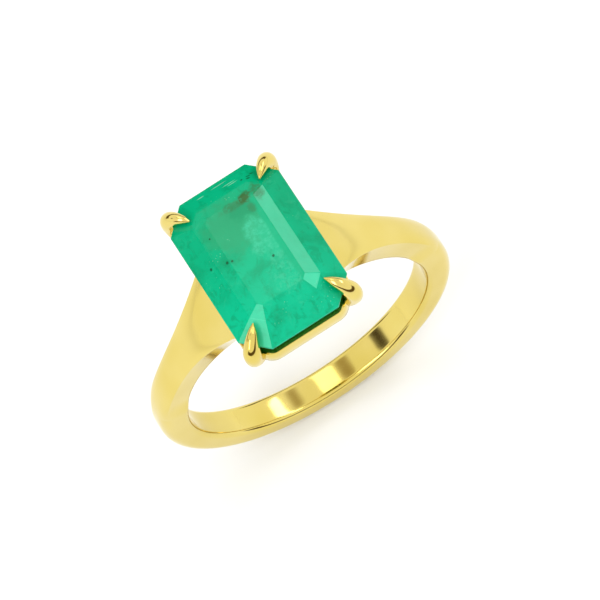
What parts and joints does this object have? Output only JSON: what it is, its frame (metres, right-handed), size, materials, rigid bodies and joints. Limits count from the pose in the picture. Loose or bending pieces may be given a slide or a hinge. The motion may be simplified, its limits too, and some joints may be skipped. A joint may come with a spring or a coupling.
{
  "type": "cocktail ring",
  "caption": "Polished solitaire ring: a step-cut green stone in pointed corner claws over a gallery rail, on a plain band with flared shoulders.",
  "frame": {"origin": "centre of the finger hole, midway between its front and back edges", "axes": "+Z from the finger hole's centre to the stone; +Y along the finger; +X across the band to the right-hand shoulder"},
  "size_m": [0.0206, 0.0111, 0.0259],
  "materials": {
    "gold": "high polish yellow gold",
    "emerald": "polished facets, translucent green with inclusions"
  },
  "bodies": {
    "root": {"lower_shank": "gold", "shoulder_left": "gold", "shoulder_right": "gold", "bridge": "gold", "base_rail": "gold", "gallery_rail": "gold", "claw_front_left": "gold", "claw_front_right": "gold", "claw_back_left": "gold", "claw_back_right": "gold", "emerald": "emerald"}
  },
  "joints": []
}
